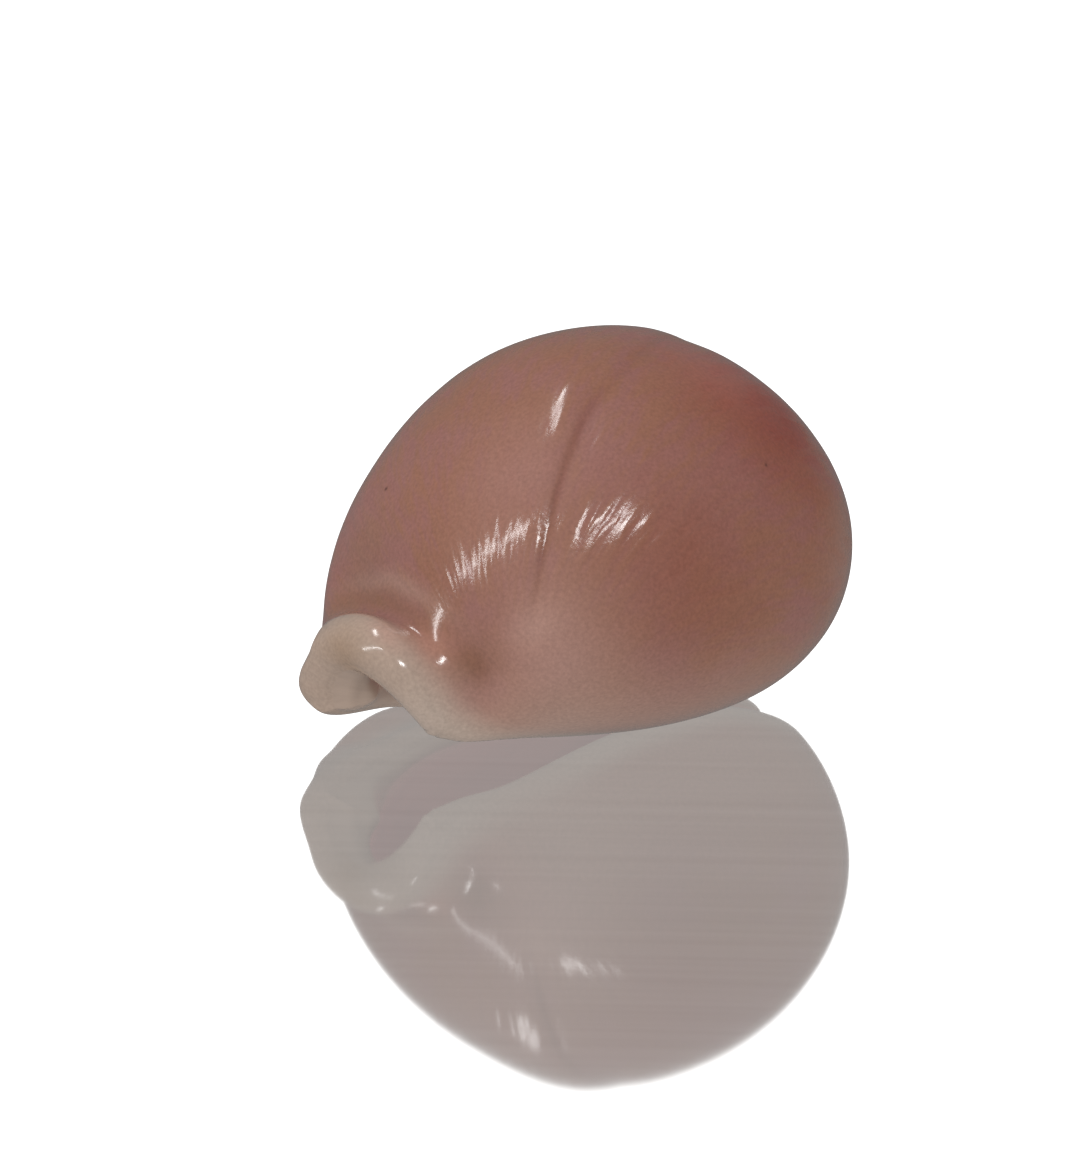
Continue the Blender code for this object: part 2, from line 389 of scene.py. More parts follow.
def middle_surface(u, v):
    """Points of the middle surface; v runs from -1 (labral lip) to 1 (columellar lip)."""
    inner = v > 0
    width = np.where(inner, spline(COLUMELLAR_WIDE, u), spline(LABRAL_WIDE, u))
    gap = np.where(inner, spline(COLUMELLAR_GAP, u), spline(LABRAL_GAP, u))
    lip = np.where(inner, spline(COLUMELLAR, u), spline(LABRAL, u))
    lip_at = np.where(inner, spline(COLUMELLAR_AT, u), spline(LABRAL_AT, u))
    crown, crown_at, widest = spline(CROWN, u), spline(CROWN_AT, u), spline(WIDEST, u)
    full = np.pi - np.arcsin(np.clip(gap / width, 0, WIDEST_GAP))
    turn = full * v
    c, s = np.cos(turn), np.sin(turn)
    along = crown_at + (lip_at - crown_at) * (1 - c) / (1 - np.cos(full))
    above = widest + (crown - widest) * c
    below = widest + (lip - widest) * c / np.cos(full)
    return np.stack([along, width * s, np.where(c > 0, above, below)], -1)


def surface_normals(u, v):
    """Outward normals, taken a little way in from the rims so that they turn smoothly there."""
    h = NORMAL_STEP
    u = u + FROM_FRONT * np.exp(-u / FROM_FRONT) - FROM_BACK * np.exp((u - 1) / FROM_BACK)
    v = v - np.sign(v) * FROM_LIP * np.exp((np.abs(v) - 1) / FROM_LIP)
    along = middle_surface(u + h, v) - middle_surface(u - h, v)
    around = middle_surface(u, v + h) - middle_surface(u, v - h)
    n = np.cross(around, along)
    return n / np.linalg.norm(n, axis=-1, keepdims=True)


def from_rim(points):
    """Straight distance of each point from the nearest point of the surface's own edge."""
    edge = np.concatenate([points[0], points[-1], points[:, 0], points[:, -1]])
    flat = points.reshape(-1, 3)
    nearest = np.empty(len(flat))
    for first in range(0, len(flat), BLOCK):
        block = flat[first : first + BLOCK]
        square = (block**2).sum(1)[:, None] + (edge**2).sum(1)[None] - 2 * block @ edge.T
        nearest[first : first + BLOCK] = np.sqrt(np.maximum(square.min(1), 0))
    return nearest.reshape(points.shape[:2])


print("a point of the crown, mm:", middle_surface(np.array([0.58]), np.array([0.0]))[0].round(2))

# %% [markdown]
# ## What a finger would feel
#
# The shell grew at the edge of its outer lip, and each pause left a line. These growth
# lines are the cuts of planes that all pass through one axis: it enters low down at the
# front of the columellar side and leaves at the back of the labral side. So the angle of
# a plane about that axis names a line, and every line is a value of one number.

# %% Growth lines as an angle about one axis
GROWTH_START = np.array([8.24, 5.61, 1.99])  # a point of the axis
GROWTH_AXIS = np.array([-0.845, -0.414, -0.339])
CROWDED, APART = 2.0, 9.0  # mm from the axis: lines too close to show, and lines well apart


def from_growth_axis(points):
    """How far each point is from the axis, along two directions square to it, mm."""
    sideways = np.cross(GROWTH_AXIS, [0, 0, 1])
    sideways = sideways / np.linalg.norm(sideways)
    upwards = np.cross(sideways, GROWTH_AXIS)
    out = points - GROWTH_START
    return out @ sideways, out @ upwards


def growth_angle(points):
    """The growth line that each point lies on, as an angle in radians."""
    return np.arctan2(*from_growth_axis(points))


def growth_spread(points):
    """1 where growth lines lie well apart, and towards 0 where they crowd at the axis."""
    return step(np.hypot(*from_growth_axis(points)), CROWDED, APART)


print("growth axis to the origin, mm:", np.hypot(*from_growth_axis(np.zeros(3))).round(2))

# %% [markdown]
# Nothing that grew is quite even. Two kinds of unevenness are enough: random heights along
# one number, which the growth lines take, and three waves in different directions, which
# together never seem to repeat.

# %% Unevenness
HEIGHTS = 1024  # random heights before they repeat
WAVES = (((1, 0.3, 0.5), 0.4), ((-0.4, 1, 0.7), 2.1), ((0.2, -0.8, 1), 4.0))  # direction, start


def uneven(x, spacing, seed):
    """Smooth random heights between -1 and 1, one every spacing along x."""
    heights = np.random.default_rng(seed).uniform(-1, 1, HEIGHTS)
    whole = np.floor(x / spacing).astype(int)
    part = step(x / spacing - whole, 0, 1)
    return heights[whole % HEIGHTS] * (1 - part) + heights[(whole + 1) % HEIGHTS] * part


def swell(points, length):
    """A slow, patternless rise and fall between -1 and 1, with waves of about this length."""
    total = 0
    for direction, start in WAVES:
        total = total + np.sin(2 * np.pi * (points @ np.array(direction)) / length + start)
    return total / len(WAVES)


print("unevenness at three places:", uneven(np.array([0.1, 0.2, 0.3]), 0.1, 3).round(2))


# %% [markdown]
# One long pause in growth left the scar that crosses the back: a groove with a swelling in
# front. Other features stand alone: the pit behind the collar, the fuller neck, the flat on
# the collar, the lobe at its foot, and the swollen foot of the labral flank. The solid has
# all of these too.

# %% Scar, pit, neck and collar
SCAR_SLANT, SCAR_AT_CROWN = 0.55, 0.70  # v per u, and the u at which it crosses the crown
SCAR_HOOK, HOOK_AT, HOOK_FADE = 0.226, 0.285, 0.09  # its turn towards the lip in front
SCAR_BEND, BEND_AT, BEND_SPREAD = 0.03, 0.58, 0.08
SCAR_BEGINS, SCAR_ENDS = (0.25, 0.32), (0.70, 0.84)  # u
SCAR_WEAKER, WEAKER_BY = (0.48, 0.62), 0.4  # u from where it is weaker
RIDGE_NEAR, RIDGE_FAR = 0.03, 0.065  # v from the groove to the top of the swelling
RIDGE_DRIFT = (0.34, 0.50)  # u over which it goes from near to far
RIDGE_FRONT, RIDGE_BACK = 0.15, 0.75  # its spread in front; behind, a share of its distance
GROOVE_FRONT, GROOVE_BACK = 0.014, 0.045  # spread of the groove to either side
# size; place and spread along; place and spread around
FRONT_FEATURES = (
    (-PIT_DEPTH, (0.198, 0.03), (0.5, 0.16)),
    (NECK_FULL, (0.215, 0.05), (-0.62, 0.25)),
    (-COLLAR_DENT, (0.095, 0.03), (-0.475, 0.09)),
    (LOBE, (0.07, 0.04), (-0.7, 0.08)),
)
FOOT_AT, FOOT_BEGINS, FOOT_ENDS = (-0.795, 0.088), (0.03, 0.40), (0.40, 0.63)


def scar_line(u):
    """Where the growth scar crosses row u, as a value of v."""
    hook = SCAR_HOOK * np.exp(-(u - HOOK_AT) / HOOK_FADE)
    return hook + SCAR_SLANT * (SCAR_AT_CROWN - u) + SCAR_BEND * bell(u, BEND_AT, BEND_SPREAD)


def scar_relief(u, v):
    """The groove of the scar and the swelling in front of it, mm."""
    off = v - scar_line(u)
    top = -RIDGE_NEAR - (RIDGE_FAR - RIDGE_NEAR) * step(u, *RIDGE_DRIFT)
    shoulder = bell(off, top, np.where(off < top, RIDGE_FRONT, -RIDGE_BACK * top))
    groove = bell(off, 0.0, np.where(off < 0, GROOVE_FRONT, GROOVE_BACK))
    strength = between(u, SCAR_BEGINS, SCAR_ENDS) * (1 - WEAKER_BY * step(u, *SCAR_WEAKER))
    return strength * (SCAR_RIDGE * top / -RIDGE_FAR * shoulder - SCAR_DEPTH * groove)


def large_relief(u, v):
    """Everything large that stands out or lies in, mm."""
    relief = scar_relief(u, v)
    for size, along, around in FRONT_FEATURES:
        relief = relief + size * bell(u, *along) * bell(v, *around)
    return relief + LABRAL_FOOT * bell(v, *FOOT_AT) * between(u, FOOT_BEGINS, FOOT_ENDS)


print("deepest in the pit, mm:", large_relief(np.array([0.198]), np.array([0.5])).round(3))

# %% [markdown]
# The growth lines are far finer, about a hundredth of a millimetre high, so only the scene
# has them. They are strongest on the back and fade on the collar. The glaze over them also
# rises and falls in waves several lines wide, and those waves break up the highlights.

# %% Growth lines and waves
LINE_RISE = 0.007  # how far growth lines stand out, mm
LINE_SPACING = 0.055  # radians between their highest points
LINE_PATCHES, PATCHY = 7.0, 0.4  # patches of stronger and weaker lines: length, mm, and share
WAVE_RISE = 0.012  # how far the glaze rises and falls, mm
WAVE_LENGTH, WAVE_LINES = 4.5, 4  # how long its waves are, mm, and how many lines wide
LINE_SEED, WAVE_SEED = 3, 5
ON_COLLAR, COLLAR_ENDS = 0.25, (0.14, 0.24)  # their share on the collar, and u where it ends


def fine_relief(u, points):
    """Growth lines and the unevenness of the glaze over the back, mm."""
    angle = growth_angle(points)
    strength = 1 - PATCHY + PATCHY * swell(points, LINE_PATCHES)
    lines = uneven(angle, LINE_SPACING, LINE_SEED) * strength
    along_lines = uneven(angle, WAVE_LINES * LINE_SPACING, WAVE_SEED)
    waves = (swell(points, WAVE_LENGTH) + along_lines) / 2
    on_back = ON_COLLAR + (1 - ON_COLLAR) * step(u, *COLLAR_ENDS)
    return on_back * growth_spread(points) * (LINE_RISE * lines + WAVE_RISE * waves)


print("growth lines per radian:", round(1 / LINE_SPACING, 1))

# %% [markdown]
# Both skins are set off from the middle surface, and towards the rims the distance shrinks
# along a quarter circle, so that they meet in a rounded edge. Inside, the wall is thicker
# along the columellar side, where the real shell has its inner whorls, and the canal behind
# the notch is narrower. The lips are worn flat where the shell stands on them.

# %% Both skins of the wall
LIP_BEGINS = (0.55, 0.90)  # v, to either side, over which the back turns into the lip
COLUMELLA_AT, COLUMELLA_BEGINS, COLUMELLA_ENDS = (0.68, 0.17), (0.12, 0.40), (0.72, 0.95)
CANAL_ENDS, ROOF_AT, CANAL_SIDE = (0.06, 0.22), (0.2, 0.4), (0.45, -0.60)
ROLL_AT, ROLL_BEGINS, ROLL_ENDS = (-0.74, 0.2), (0.04, 0.12), (0.22, 0.34)


def outside_distance(u, v):
    """How far the outer skin is from the middle surface, without the growth lines."""
    lip = step(np.abs(v), *LIP_BEGINS)
    return spline(OUTSIDE, u) * (1 - lip) + spline(LIP, u) * lip + large_relief(u, v)


def inside_distance(u, v):
    """How far the inner skin is from the middle surface."""
    columella = COLUMELLA * bell(v, *COLUMELLA_AT) * between(u, COLUMELLA_BEGINS, COLUMELLA_ENDS)
    roof = CANAL_ROOF * (1 - step(u, *CANAL_ENDS)) * bell(v, *ROOF_AT)
    return spline(INSIDE, u) + columella + roof


def canal_push(u, v):
    """How far the inner skin is moved across the shell, which narrows the canal."""
    canal = CANAL_FILL * (1 - step(u, *CANAL_ENDS)) * step(v, *CANAL_SIDE)
    return canal + LIP_ROLL * bell(v, *ROLL_AT) * between(u, ROLL_BEGINS, ROLL_ENDS)


def skins(along, around, crowding, fine=False):
    """Outer and inner skin, which share their edge points, and each point's place."""
    rows, turns = np.meshgrid(
        crowded(along, crowding), 2 * crowded(around, crowding) - 1, indexing="ij"
    )
    wall = middle_surface(rows, turns)
    normal = surface_normals(rows, turns)
    rim = from_rim(wall)
    rounded = np.sqrt(1 - (1 - np.clip(rim / RIM_RADIUS, 0, 1)) ** 2)
    outside = outside_distance(rows, turns)
    if fine:
        outside = outside + fine_relief(rows, wall)
    outer = wall + normal * (outside * rounded)[..., None]
    inner = wall - normal * (inside_distance(rows, turns) * rounded)[..., None]
    inner[..., 1] += canal_push(rows, turns) * rounded
    outer[..., 2] = np.maximum(outer[..., 2], 0)  # worn flat
    return {"rows": rows, "turns": turns, "rim": rim, "outer": outer, "inner": inner}


solid_outer = skins(*SOLID_STEPS, SOLID_CROWDING)["outer"]
lowest, highest = solid_outer.min(axis=(0, 1)), solid_outer.max(axis=(0, 1))
centre = np.array([*(lowest + highest)[:2] / 2, lowest[2]])
print("middle of the form, mm:", centre.round(3))

# %% [markdown]
# ## The mesh
#
# Both skins are grids of points, joined along their edges, which makes one closed wall with
# no seam to hide. The outer grid is fine enough for the growth lines to be real ripples.
# The inner skin is smooth, so it keeps every fourth point: the faces next to the rim take
# in the points that it leaves out, and the wall stays closed.
#
# Each point also carries where it is: u and v, how far it is from the rim and from the scar,
# its growth line, and how far the growth lines lie apart there. The glaze reads these, so
# the colours follow the growth of the shell.

# %% Faces of the two skins
ALONG, AROUND = 221, 401  # points of the outer skin
COARSER = 4  # the inner skin keeps every fourth of them
CROWDING = 0.55  # how far they crowd towards the rims
# from mm to metres, with the front end towards -X and the columellar side towards -Y
TO_FRAME = np.array([-0.001, -0.001, 0.001])


def outer_faces(number):
    """Four-cornered faces through a grid of vertex numbers."""
    corners = [number[:-1, :-1], number[:-1, 1:], number[1:, 1:], number[1:, :-1]]
    return np.stack(corners, -1).reshape(-1, 4).tolist()


def inner_faces(number, every):
    """Faces of every-th points, whose sides along the edge of the grid keep all points."""
    last_row, last_column = number.shape[0] - 1, number.shape[1] - 1
    faces = []
    for r in range(0, last_row, every):
        for c in range(0, last_column, every):
            far_r, far_c = r + every, c + every
            sides = (
                (number[r, c:far_c], r == 0),
                (number[r:far_r, far_c], far_c == last_column),
                (number[far_r, far_c:c:-1], far_r == last_row),
                (number[far_r:r:-1, c], c == 0),
            )
            face = []
            for side, at_edge in sides:
                face.extend(side.tolist() if at_edge else side[:1].tolist())
            faces.append(face)
    return faces


print("faces outside:", (ALONG - 1) * (AROUND - 1))

# %% [markdown]
# The points of both skins go into one mesh, the outer ones first. Points along the edges are
# shared, so the two skins are sewn together there.

# %% One closed shell
def shell_mesh(name, grid):
    """The two skins as one closed mesh in metres, and its points' places."""
    shape = grid["rows"].shape
    count = shape[0] * shape[1]
    outer_number = np.arange(count).reshape(shape)
    kept = np.zeros(shape, bool)
    kept[COARSER:-COARSER:COARSER, COARSER:-COARSER:COARSER] = True
    inner_number = outer_number.copy()
    inner_number[kept] = count + np.arange(kept.sum())
    points = np.concatenate([grid["outer"].reshape(-1, 3), grid["inner"][kept]])
    places = (points - centre) * TO_FRAME
    outside = outer_faces(outer_number)
    inside = [face[::-1] for face in inner_faces(inner_number, COARSER)]
    mesh = bpy.data.meshes.new(name)
    mesh.from_pydata(places.tolist(), [], outside + inside)
    mesh.polygons.foreach_set("use_smooth", [True] * len(mesh.polygons))
    skin_of_face = [0] * len(outside) + [1] * len(inside)
    mesh.polygons.foreach_set("material_index", skin_of_face)
    values = {
        "along": grid["rows"],
        "around": grid["turns"],
        "rim": grid["rim"],
        "growth": growth_angle(grid["outer"]),
        "spread": growth_spread(grid["outer"]),
        "scar": grid["turns"] - scar_line(grid["rows"]),
    }
    for label, value in values.items():
        each = np.concatenate([value.reshape(-1), value[kept]]).astype(np.float32)
        mesh.attributes.new(label, "FLOAT", "POINT").data.foreach_set("value", each)
    return mesh


grid = skins(ALONG, AROUND, CROWDING, fine=True)
mesh = shell_mesh("cowrie", grid)
bm = bmesh.new()
bm.from_mesh(mesh)
bmesh.ops.recalc_face_normals(bm, faces=bm.faces)
print("open edges:", sum(not edge.is_manifold for edge in bm.edges))
bm.to_mesh(mesh)
bm.free()
mesh.calc_loop_triangles()
print("triangles:", len(mesh.loop_triangles))
cowrie = bpy.data.objects.new("cowrie", mesh)
bpy.context.scene.collection.objects.link(cowrie)

# %% [markdown]
# ## The glaze
#
# The colours of a cowrie lie in the glaze as soft clouds, so most of this material is
# a list of clouds: each has a place on the shell, a reach, a colour and a strength. One
# node group makes the cloud's mask, and it is used again for each of them. Its edge is
# stirred by noise, because nothing on a shell fades in a perfect ring.
#
# The helpers below only save typing. A node group is made once and placed wherever it is
# needed. It hands out plain values and masks, and the shader stays in the material.

# %% Node helpers
NUMBER = "NodeSocketFloat"


def maths(tree, operation, first, second=0.0, clamp=False):
    """One sum, with values or links on both sides."""
    inputs = {0: first, 1: second}
    return add(tree, "ShaderNodeMath", inputs, operation=operation, use_clamp=clamp).outputs[0]


def smooth(tree, value, start, end):
    """0 up to start, 1 from end on, and a soft step between."""
    inputs = {0: value, 1: start, 2: end}
    ramp = add(tree, "ShaderNodeMapRange", inputs, interpolation_type="SMOOTHSTEP")
    return ramp.outputs[0]


def blend(tree, amount, first, second):
    """A mix of two colours."""
    mix = add(tree, "ShaderNodeMix", {0: amount, 6: first, 7: second}, data_type="RGBA")
    return mix.outputs[2]


def in_place(tree):
    """Where on the shell a point is, in metres."""
    return tree.nodes.new("ShaderNodeTexCoord").outputs["Object"]


def noise(tree, size, detail):
    """Outputs of a noise over the shell."""
    inputs = {"Vector": in_place(tree), "Scale": size, "Detail": detail}
    return add(tree, "ShaderNodeTexNoise", inputs).outputs


def group(name, takes, gives):
    """An empty node group with these inputs and their values, and these outputs."""
    tree = bpy.data.node_groups.new(name, "ShaderNodeTree")
    for label, value in takes.items():
        tree.interface.new_socket(label, in_out="INPUT", socket_type=NUMBER).default_value = value
    for label in gives:
        tree.interface.new_socket(label, in_out="OUTPUT", socket_type=NUMBER)
    print("group", name, "gives", ", ".join(gives))
    source, sink = tree.nodes.new("NodeGroupInput"), tree.nodes.new("NodeGroupOutput")
    return tree, source.outputs, sink.inputs


def place(tree, node_group, **inputs):
    """One use of a group, with values or links on its inputs (_ in a name is a space)."""
    named = {key.replace("_", " "): value for key, value in inputs.items()}
    return add(tree, "ShaderNodeGroup", named, node_tree=node_group).outputs


# %% [markdown]
# The first group reads the place of a point from the mesh and stirs it a little, so that
# every cloud and every edge wanders by the same noise, and neighbours stay in step.

# %% Group: place on the shell
# what is read, the channel of the noise that stirs it, and its share of the stirring
READ = (
    ("along", "Red", 1.0),
    ("around", "Green", 2.0),
    ("growth", "Blue", 0.5),
    ("rim", "Green", 12.0),
    ("scar", "Blue", 0.2),
    ("spread", "Blue", 0.0),
)
stirred, source, sink = group(
    "place_on_shell", {"stir": 0.03, "size": 350.0}, [label for label, _, _ in READ]
)
cloudy = noise(stirred, source["size"], 3.0)["Color"]
channels = add(stirred, "ShaderNodeSeparateColor", {0: cloudy}).outputs
for label, channel, share in READ:
    read = add(stirred, "ShaderNodeAttribute", attribute_name=label).outputs["Fac"]
    centred = maths(stirred, "SUBTRACT", channels[channel], 0.5)
    stir = maths(stirred, "MULTIPLY", source["stir"], share)
    wander = maths(stirred, "MULTIPLY", centred, stir)
    stirred.links.new(maths(stirred, "ADD", read, wander), sink[label])

# %% [markdown]
# A cloud is densest at its centre and thins out like a bell, further along the shell than
# around it or the other way about. This is its mask.

# %% Group: cloud
cloud, source, sink = group(
    "cloud",
    {
        "along": 0.0,
        "around": 0.0,
        "centre along": 0.5,
        "centre around": 0.0,
        "reach along": 0.1,
        "reach around": 0.1,
        "strength": 1.0,
    },
    ["mask"],
)
squares = []
for label in ("along", "around"):
    away = maths(cloud, "SUBTRACT", source[label], source["centre " + label])
    away = maths(cloud, "DIVIDE", away, source["reach " + label])
    squares.append(maths(cloud, "MULTIPLY", away, away))
fall = maths(cloud, "MULTIPLY", maths(cloud, "ADD", *squares), -1.0)
soft = maths(cloud, "EXPONENT", fall)
cloud.links.new(maths(cloud, "MULTIPLY", soft, source["strength"], clamp=True), sink["mask"])

# %% [markdown]
# Growth lines show in the colour as well, as faint lighter and darker threads, and they
# break a highlight into bright ticks. The group gives a value for the colour, a height for
# the finest ripples, which are too small to be in the mesh, and how dull the glaze is
# between the ticks. It feeds one noise the growth angle, many times over, and the place
# only a little, so that the noise is drawn out into threads.

# %% Group: growth threads
TICKS = (0.54, 0.44)  # of the height's noise: dull below the second, bright above the first
threads, source, sink = group(
    "growth_threads",
    {"growth": 0.0, "spread": 1.0, "threads per radian": 30.0, "waver": 700.0},
    ["shade", "height", "dull"],
)
scaled = {0: in_place(threads), 3: source["waver"]}
slow = add(threads, "ShaderNodeVectorMath", scaled, operation="SCALE").outputs[0]
packed = maths(threads, "MULTIPLY", source["growth"], source["threads per radian"])
for label, detail, roughness in (("shade", 3.0, 0.6), ("height", 0.5, 0.5)):
    inputs = {"Vector": slow, "W": packed, "Scale": 1.0, "Detail": detail, "Roughness": roughness}
    thread = add(threads, "ShaderNodeTexNoise", inputs, noise_dimensions="4D").outputs["Fac"]
    value = maths(threads, "SUBTRACT", thread, 0.5)
    threads.links.new(maths(threads, "MULTIPLY", value, source["spread"]), sink[label])
dull = smooth(threads, thread, *TICKS)
threads.links.new(maths(threads, "MULTIPLY", dull, source["spread"]), sink["dull"])

# %% [markdown]
# The scar itself is finer than the mesh: a thin brown line, cut a little into the glaze. Its
# brown is partly the scar's own colour and partly painted shade of the groove. It is sharp over
# the middle of the back and fades towards the labral side.

# %% Group: scar
CUT_BEGINS, CUT_ENDS = (0.285, 0.34), (0.80, 0.68)  # along
CUT_FADES, CUT_FAINT = (0.46, 0.54), 0.35  # along, and how faint it is behind that
cut, source, sink = group("scar_line", {"along": 0.0, "off": 0.0, "half width": 0.012}, ["mask"])
away = maths(cut, "DIVIDE", source["off"], source["half width"])
fall = maths(cut, "MULTIPLY", maths(cut, "MULTIPLY", away, away), -1.0)
begun = smooth(cut, source["along"], *CUT_BEGINS)
ended = smooth(cut, source["along"], *CUT_ENDS)
fading = remap(cut, source["along"], *CUT_FADES, 1.0, CUT_FAINT)
length = maths(cut, "MULTIPLY", maths(cut, "MULTIPLY", begun, ended), fading)
cut.links.new(maths(cut, "MULTIPLY", maths(cut, "EXPONENT", fall), length), sink["mask"])

# %% [markdown]
# Under a lens the glaze is speckled and, over a few millimetres, clouded warmer and cooler.
# Two noises of different size give both.

# %% Group: mottling
mottling, source, sink = group(
    "mottling", {"speck size": 7500.0, "cloud size": 260.0}, ["specks", "clouds"]
)
for label, size, detail in (("specks", "speck size", 2.0), ("clouds", "cloud size", 4.0)):
    mottling.links.new(noise(mottling, source[size], detail)["Fac"], sink[label])

# %% [markdown]
# The outside: mauve-brown over the back, redder behind, a darker brown in the neck and the pit
# behind the collar, partly ochre tint and partly painted shade of those hollows, and cream on the
# collar and the lips. Clouds are laid on in this order, the way that the glaze was, and some of
# them are painted shade. The last two of the pale ones are so small that they are two dark
# specks.

# %% Colours of the outside
def colour(red, green, blue):
    """A colour from its everyday 0 to 255 values, as light (the sRGB curve)."""
    channels = np.array([red, green, blue]) / 255
    dark, bright = channels / 12.92, ((channels + 0.055) / 1.055) ** 2.4
    return (*np.where(channels <= 0.04045, dark, bright).tolist(), 1.0)


MAUVE, BROWN = colour(139, 96, 89), colour(138, 95, 77)
CREAM, LIP_CREAM = colour(171, 145, 131), colour(162, 142, 128)
NEAR_LIP_CREAM = colour(174, 156, 143)
# the margin low down: partly the shell's own paler base, partly painted light from below
PALE_BASE_AND_UNDERLIGHT = colour(158, 123, 109)
# the scar's line: partly its own brown, partly painted shade of its groove
SCAR_BROWN_AND_SHADE = colour(106, 60, 45)
# colour, centre along, centre around, reach along, reach around, strength
CLOUDS = (
    (colour(161, 124, 113), 0.31, 0.66, 0.10, 0.26, 0.95),
    (colour(150, 109, 99), 0.37, 0.17, 0.08, 0.12, 0.8),
    (colour(132, 82, 66), 0.50, 0.45, 0.10, 0.15, 0.8),
    (colour(121, 50, 38), 0.712, 0.24, 0.10, 0.16, 0.8),
    (colour(156, 123, 110), 0.211, -0.03, 0.011, 0.28, 0.65),
    # the next two darken the neck and the pit behind the collar: partly their own ochre-brown,
    # partly painted shade of these hollows
    (colour(124, 88, 66), 0.188, -0.09, 0.017, 0.38, 0.55),
    (colour(118, 80, 62), 0.192, 0.51, 0.020, 0.12, 0.6),
    (colour(154, 94, 85), 0.67, 0.16, 0.05, 0.08, 0.4),
    (colour(128, 96, 88), 0.23, -0.21, 0.05, 0.15, 0.5),
    (colour(170, 134, 122), 0.29, 0.48, 0.035, 0.06, 0.5),
    (colour(150, 112, 100), 0.78, 0.56, 0.05, 0.12, 0.5),
)
# the same for the clouds on the cream and over the edge of it
PALE_CLOUDS = (
    (colour(168, 122, 107), 0.166, 0.29, 0.026, 0.10, 0.55),
    # painted shade: the front face of the collar is made darker
    (colour(150, 126, 106), 0.02, -0.05, 0.05, 0.22, 0.8),
    (colour(174, 136, 122), 0.11, 0.16, 0.03, 0.12, 0.6),
    (colour(172, 144, 130), 0.32, 0.86, 0.12, 0.12, 0.6),
    (colour(70, 42, 36), 0.300, -0.17, 0.0022, 0.005, 0.8),
    (colour(64, 34, 30), 0.655, 0.335, 0.0020, 0.004, 0.7),
)

print("clouds:", len(CLOUDS), "and pale ones:", len(PALE_CLOUDS))

# %% [markdown]
# Both materials are glazes, so they share their making: the values that they read, a colour
# that the threads make lighter and darker, and a bump for the finest ripples. Clouds are
# blended in one after the other, each through its own mask.

# %% What both glazes share
GLAZE_IOR, COAT_ROUGHNESS = 1.5, 0.08
STIR_SIZE = 300.0  # of the noise that stirs the places


def new_glaze(name, stir, roughness):
    """A glaze and the place, spots and threads that it reads."""
    material = bpy.data.materials.new(name)
    material.use_nodes = True
    tree = material.node_tree
    shader = tree.nodes["Principled BSDF"].inputs
    shader["Roughness"].default_value = roughness
    shader["IOR"].default_value = GLAZE_IOR
    shader["Coat Roughness"].default_value = COAT_ROUGHNESS
    at = place(tree, stirred, stir=stir, size=STIR_SIZE)
    lines = place(tree, threads, growth=at["growth"], spread=at["spread"])
    return material, tree, shader, at, place(tree, mottling), lines


def varied(tree, value, share, around):
    """A factor that follows a value: this share of it, added to a middle."""
    return maths(tree, "ADD", maths(tree, "MULTIPLY", value, share), around)


def paint(tree, shader, base, factor):
    """The colour times the factor, as the base colour."""
    shaded = add(tree, "ShaderNodeVectorMath", {0: base, 3: factor}, operation="SCALE")
    tree.links.new(shaded.outputs[0], shader["Base Color"])


def ripple(tree, shader, height, distance):
    """A bump of this height."""
    bump = add(tree, "ShaderNodeBump", {"Height": height, "Distance": distance})
    tree.links.new(bump.outputs[0], shader["Normal"])


def clouded(tree, at, base, clouds):
    """The colour with these clouds laid on it, one after the other."""
    for tint, along, around, reach_along, reach_around, strength in clouds:
        mask = place(
            tree,
            cloud,
            along=at["along"],
            around=at["around"],
            centre_along=along,
            centre_around=around,
            reach_along=reach_along,
            reach_around=reach_around,
            strength=strength,
        )
        base = blend(tree, mask["mask"], base, tint)
    return base


print("refractive index of both:", GLAZE_IOR)

# %% [markdown]
# The outside goes from colour to colour by place: the back, a paler margin low down on both
# sides, partly the shell's own paler base and partly painted light from below, the cream of the
# collar in front, the lips, and last the brown line of the scar, partly painted shade of its
# groove.
# Ripples fade on the collar and beside the scar, where the glaze is smoother. Between the
# ticks of a highlight the glaze is duller and has no clear coat.

# %% Material: glazed back
BROWNER = (0.35, 0.65)  # of the mottling: mauve below, brown above
THREAD_WARMTH = 0.8  # how much the threads add to the mottling
MARGIN_FROM = (0.54, 0.86)  # around, to both sides
CREAM_FULL = 0.10  # along: all cream in front of this
CREAM_TURNS, CREAM_ENDS = (-0.1, 0.5), (0.155, 0.20)  # around, and where cream ends along
PALER_LIP = (0.35, 0.70)  # around
LIP_EDGE = (2.4, 1.0)  # mm from the rim
SCAR_BROWN_AND_SHADE_SHARE, SCAR_CUT = 0.40, 0.2  # of its brown and painted shade in the colour, and how deep its bump is
THREAD_SHADE, SPECK_SHADE = 0.14, 0.44  # how far they lighten and darken the back
SPECK_RISE = 0.08  # height of the specks, beside that of the threads
RIPPLES_FROM = (0.10, 0.22)  # along
RIPPLE = 0.000055  # height of the finest ripples
SPECULAR, COAT = (0.5, 0.36), (0.3, 0.0)  # on the ticks and between them
CALM = {  # beside the scar
    "centre_along": 0.49,
    "centre_around": 0.14,
    "reach_along": 0.06,
    "reach_around": 0.11,
    "strength": 0.8,
}


